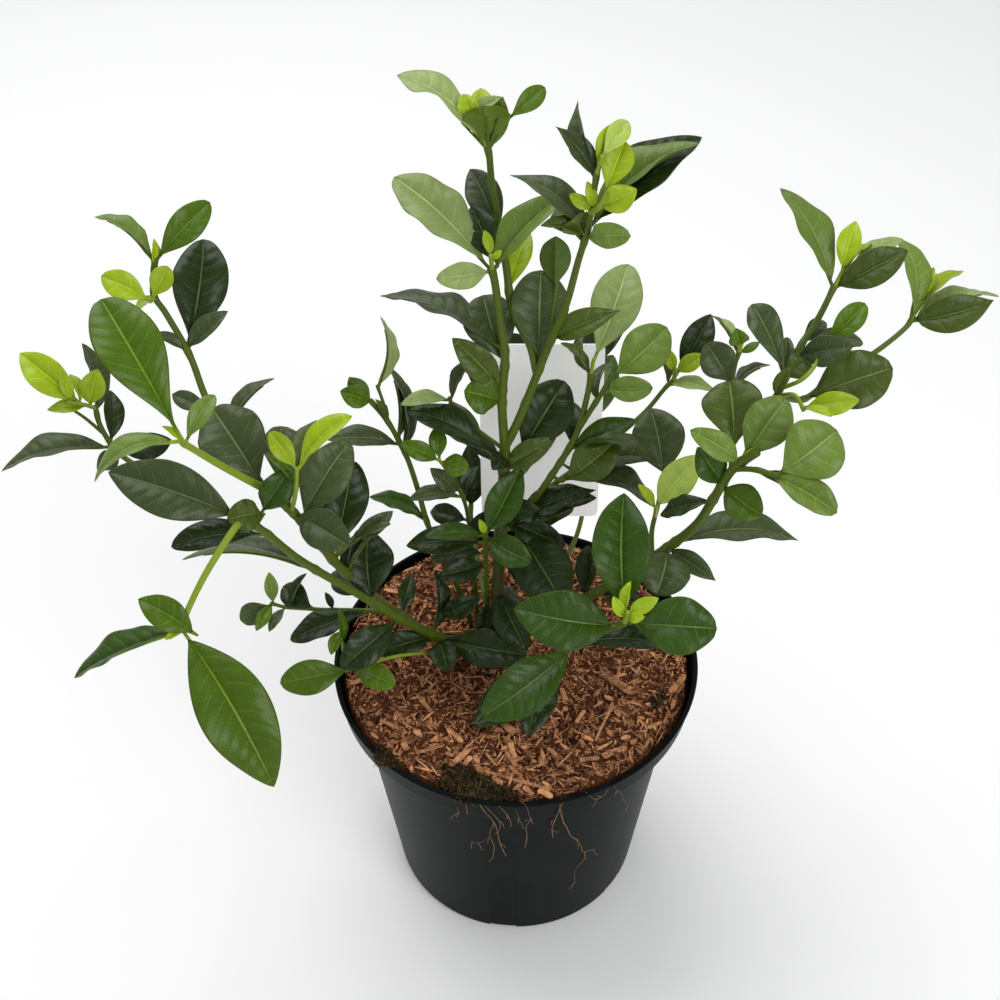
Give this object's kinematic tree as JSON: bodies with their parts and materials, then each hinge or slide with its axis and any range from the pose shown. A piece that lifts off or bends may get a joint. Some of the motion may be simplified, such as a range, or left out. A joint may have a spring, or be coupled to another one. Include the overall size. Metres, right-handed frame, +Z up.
{
  "type": "potted gardenia",
  "caption": "Bushy evergreen gardenia without flowers, in a round black plastic nursery pot topped with wood-chip mulch, with a bare plant card.",
  "frame": {"origin": "centre of the pot's underside, on the surface it stands on", "axes": "+Z up along the pot's axis; -Y towards the front of the plant, which the picture shows; +X to its right"},
  "size_m": [0.5663, 0.3173, 0.5499],
  "materials": {
    "pot": "satin black moulded plastic",
    "mulch": "rough wood chips on potting mix",
    "label": "smooth white plastic card, bare",
    "leaf_dark": "glossy, veined",
    "leaf_grey": "glossy, veined",
    "leaf_olive": "glossy, veined",
    "leaf_mid": "glossy, veined",
    "leaf_bright": "glossy, veined",
    "leaf_lime": "soft gloss, young leaves",
    "leaf_pale": "soft gloss, young leaves"
  },
  "bodies": {
    "root": {"pot": "pot", "mulch": "mulch", "label": "label", "main_stem": "leaf_dark", "left_arm": "leaf_dark", "right_arm": "leaf_mid", "top_right_stem": "leaf_mid", "top_stem": "leaf_olive", "centre_right_stem": "leaf_olive", "front_shoot": "leaf_mid", "centre_small_stem": "leaf_mid", "mid_left_stem": "leaf_olive", "mid_low_stem": "leaf_dark", "right_twig": "leaf_grey", "right_inner_stem": "leaf_grey", "right_mid_stem": "leaf_grey", "right_high_stem": "leaf_mid", "right_far_stem": "leaf_olive", "left_bright_stem": "leaf_bright", "left_high_stem": "leaf_dark", "left_far_stem": "leaf_dark", "left_hanging_stem": "leaf_bright", "left_small_stem": "leaf_dark", "rim_left_stem": "leaf_bright", "left_lime_shoot": "leaf_lime", "left_high_tip": "leaf_lime", "left_far_tip": "leaf_lime", "left_bright_tip": "leaf_lime", "mid_left_tip": "leaf_lime", "top_left_bud": "leaf_lime", "top_stem_tip": "leaf_lime", "top_right_tip": "leaf_lime", "top_right_bud": "leaf_lime", "right_pale_leaf": "leaf_pale", "front_tip": "leaf_lime", "right_twig_tip": "leaf_pale", "right_inner_tip": "leaf_lime", "right_mid_tip": "leaf_lime", "right_high_tip": "leaf_lime", "right_high_roll": "leaf_bright", "right_far_tip": "leaf_lime", "right_far_lime": "leaf_lime", "rim_left_tip": "leaf_lime", "back_right_stem": "leaf_mid", "back_left_stem": "leaf_olive"}
  },
  "joints": []
}
